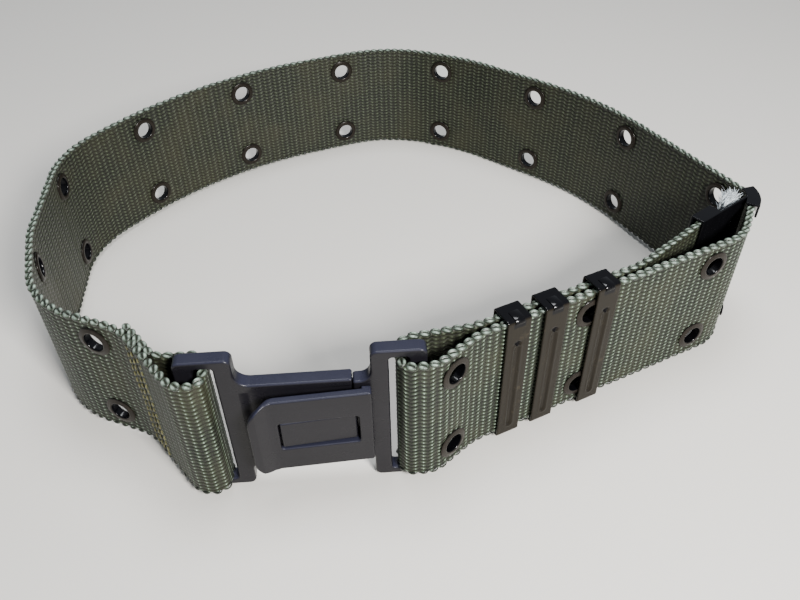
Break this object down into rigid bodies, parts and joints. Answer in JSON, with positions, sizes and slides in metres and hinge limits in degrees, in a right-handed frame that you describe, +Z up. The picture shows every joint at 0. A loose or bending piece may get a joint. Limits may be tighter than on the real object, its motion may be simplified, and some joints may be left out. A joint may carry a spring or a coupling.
{
  "type": "web equipment belt",
  "caption": "Closed-loop load-carrying web belt with eyelet rows, a side-release plastic buckle with a window latch, sliding keepers and a metal end clip.",
  "frame": {"origin": "centre of the ring's footprint, on the floor plane under the buckle", "axes": "+Y points from the buckle across the ring to the back, +X to the right as the buckle is faced, +Z up across the webbing's width"},
  "size_m": [0.2996, 0.252, 0.0645],
  "materials": {
    "webbing": "woven nylon with a slight sheen",
    "thread": "twisted nylon thread",
    "buckle_plastic": "satin moulded plastic",
    "clip_metal": "gloss black paint",
    "keeper_metal": "worn dark bronze-black finish",
    "eyelet_metal": "blackened brass, semi-gloss"
  },
  "bodies": {
    "root": {"belt_webbing": "webbing", "right_buckle_half": "buckle_plastic", "end_clip": "clip_metal", "upper_eyelets": "eyelet_metal", "lower_eyelets": "eyelet_metal", "upper_eyelet_washers": "eyelet_metal", "lower_eyelet_washers": "eyelet_metal", "tail_eyelets": "eyelet_metal", "tail_eyelet_washers": "eyelet_metal"},
    "left_end": {"buckle_end_webbing": "webbing", "sewn_end_stitching": "thread", "left_buckle_half": "buckle_plastic", "left_end_eyelets": "eyelet_metal", "left_end_eyelet_washers": "eyelet_metal"},
    "latch": {"latch_plate": "buckle_plastic"},
    "keeper_1": {"keeper_1": "keeper_metal"},
    "keeper_2": {"keeper_2": "keeper_metal"},
    "keeper_3": {"keeper_3": "keeper_metal"}
  },
  "joints": [
    {"name": "buckle_release", "type": "slide", "parent": "root", "child": "left_end", "axis": [-1, 0, 0], "range_m": [0, 0.036], "deforming": ["latch_plate"]},
    {"name": "latch_flex", "type": "hinge", "parent": "root", "child": "latch", "pos_m": [-0.01345, -0.1164, 0.03227], "axis": [0, 0, 1], "range_deg": [0, 12]},
    {"name": "keeper_1_slide", "type": "slide", "parent": "root", "child": "keeper_1", "axis": [0.9251, 0.3798, 0], "range_m": [-0.0045, 0.003]},
    {"name": "keeper_2_slide", "type": "slide", "parent": "root", "child": "keeper_2", "axis": [0.9251, 0.3798, 0], "range_m": [-0.0025, 0.006]},
    {"name": "keeper_3_slide", "type": "slide", "parent": "root", "child": "keeper_3", "axis": [0.9251, 0.3798, 0], "range_m": [-0.006, 0.006]}
  ]
}
